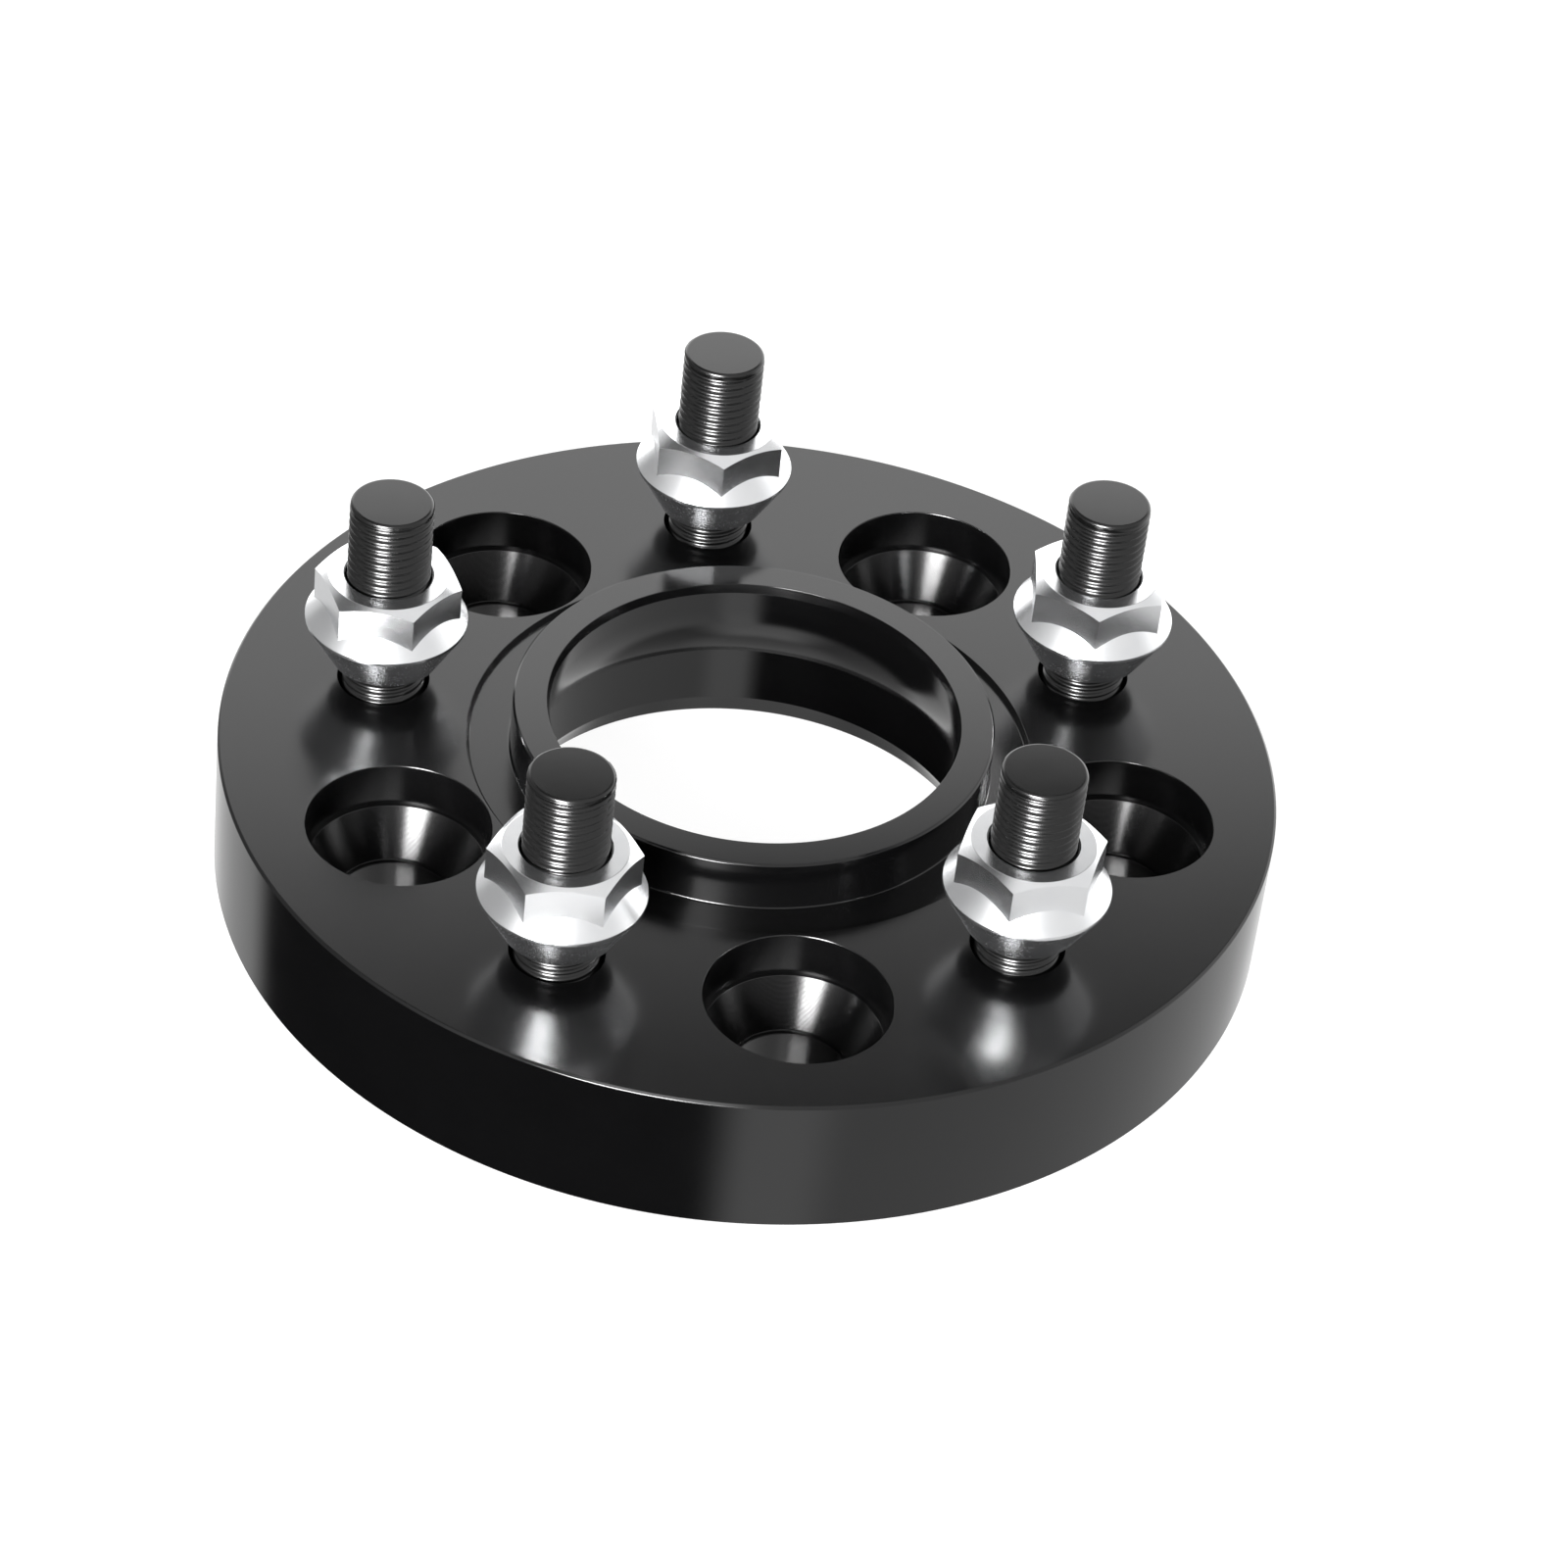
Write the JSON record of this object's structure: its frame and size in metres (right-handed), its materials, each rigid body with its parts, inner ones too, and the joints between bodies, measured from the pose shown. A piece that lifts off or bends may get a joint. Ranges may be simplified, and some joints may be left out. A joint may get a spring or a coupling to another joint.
{
  "type": "wheel spacer",
  "caption": "Hub-centric bolt-on wheel spacer: a thick turned disc with a centring lip, sunk conical bolt seats and pressed-in studs that carry flanged lug nuts.",
  "frame": {"origin": "centre of the back face, which lies against the car's hub, on the axis of the wheel", "axes": "+Z along the wheel's axis, from the hub outwards, in the direction that the studs point; one stud on the +Y side and one bolt hole on the -Y side"},
  "size_m": [0.178, 0.178, 0.0618],
  "materials": {
    "black_anodised": "black anodised, semi-gloss",
    "black_steel": "black oxide, slightly glossy",
    "bright_zinc": "bright zinc plated, glossy"
  },
  "bodies": {
    "root": {"spacer_body": "black_anodised", "stud_1": "black_steel", "stud_2": "black_steel", "stud_3": "black_steel", "stud_4": "black_steel", "stud_5": "black_steel", "lug_nut_1": "bright_zinc", "lug_nut_2": "bright_zinc", "lug_nut_3": "bright_zinc", "lug_nut_4": "bright_zinc", "lug_nut_5": "bright_zinc"}
  },
  "joints": []
}
